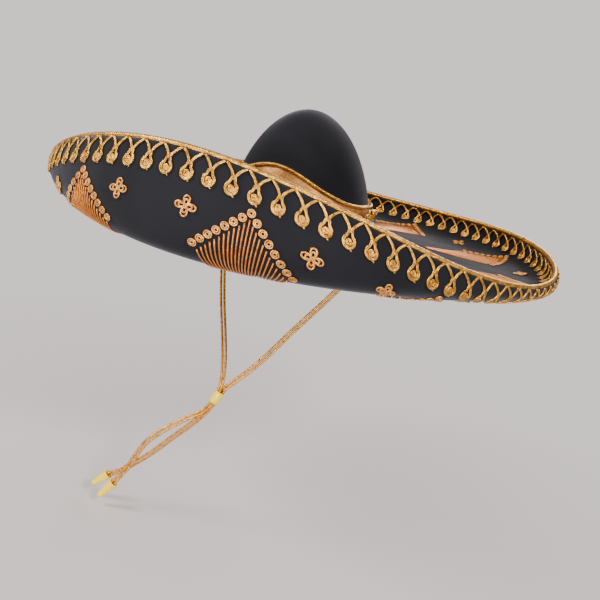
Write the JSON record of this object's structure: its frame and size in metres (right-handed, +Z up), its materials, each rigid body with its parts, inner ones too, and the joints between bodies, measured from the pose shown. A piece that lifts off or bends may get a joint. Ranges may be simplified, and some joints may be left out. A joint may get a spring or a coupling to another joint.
{
  "type": "charro sombrero",
  "caption": "Wide-brimmed charro sombrero with a rolled brim, tapered crown, looped braid trim, embroidered fans, a hatband and a hanging chin cord with slide bead.",
  "frame": {"origin": "centre of the head opening, in the plane of the crown's foot", "axes": "+Z up through the crown, -Y to the front of the hat, +X to the wearer's left"},
  "size_m": [0.6236, 0.633, 0.5018],
  "materials": {
    "black_velvet": "short cotton-backed velvet pile, matt with a faint sheen at grazing angles",
    "crown_board": "stiff pressed felt board, uncoated",
    "rim_steel": "drawn spring-steel wire",
    "gold_braid": "metallic gold yarn braid, bright and glittering with deep orange shadows",
    "gold_lame": "gold lame ribbon, metallic woven sheen",
    "pale_lame": "white and silver lame satin, metallic sheen",
    "gold_thread": "orange-gold rayon embroidery thread, satin gloss",
    "copper_thread": "coppery gold looped soutache cord",
    "sweat_leather": "thin brown sweatband leather, stitched",
    "lining_satin": "black lining satin",
    "bow_satin": "black satin ribbon",
    "eyelet_brass": "rolled brass eyelet",
    "chin_braid": "round braided metallic gold cord",
    "yellow_plastic": "glossy moulded yellow plastic"
  },
  "bodies": {
    "hat": {"brim_core": "crown_board", "crown_core": "crown_board", "brim_top_velvet": "black_velvet", "brim_under_velvet": "black_velvet", "crown_velvet": "black_velvet", "crown_lining": "lining_satin", "rim_wire": "rim_steel", "rim_binding": "gold_braid", "rim_braid_outer": "gold_braid", "rim_braid_inner": "gold_braid", "hatband_ribbon": "gold_lame", "hatband_cord_bottom": "gold_braid", "hatband_cord_top": "gold_braid", "hatband_bow": "gold_lame", "lame_petals": "pale_lame", "petal_outline_cords": "gold_braid", "fan_threads_under": "gold_thread", "fan_borders_under": "copper_thread", "fan_threads_top": "gold_thread", "fan_borders_top": "copper_thread", "flowers_under": "copper_thread", "flowers_top": "copper_thread", "sweatband": "sweat_leather", "sweatband_bow": "bow_satin", "cord_eyelet_left": "eyelet_brass", "cord_eyelet_right": "eyelet_brass", "cord_knot_left": "chin_braid", "cord_knot_right": "chin_braid"},
    "chin_cord": {"chin_cord_left_front": "chin_braid", "chin_cord_left_back": "chin_braid", "chin_cord_right_front": "chin_braid", "chin_cord_right_back": "chin_braid", "cord_tip_left": "yellow_plastic", "cord_tip_right": "yellow_plastic"},
    "slide_bead": {"slide_bead": "yellow_plastic"}
  },
  "joints": [
    {"name": "chin_cord_swing", "type": "hinge", "parent": "hat", "child": "chin_cord", "pos_m": [0, 0, -0.006], "axis": [1, 0, 0], "range_deg": [-50, 60]},
    {"name": "bead_slide", "type": "slide", "parent": "chin_cord", "child": "slide_bead", "axis": [-0.329, -0.1794, -0.9271], "range_m": [0, 0.012]}
  ]
}
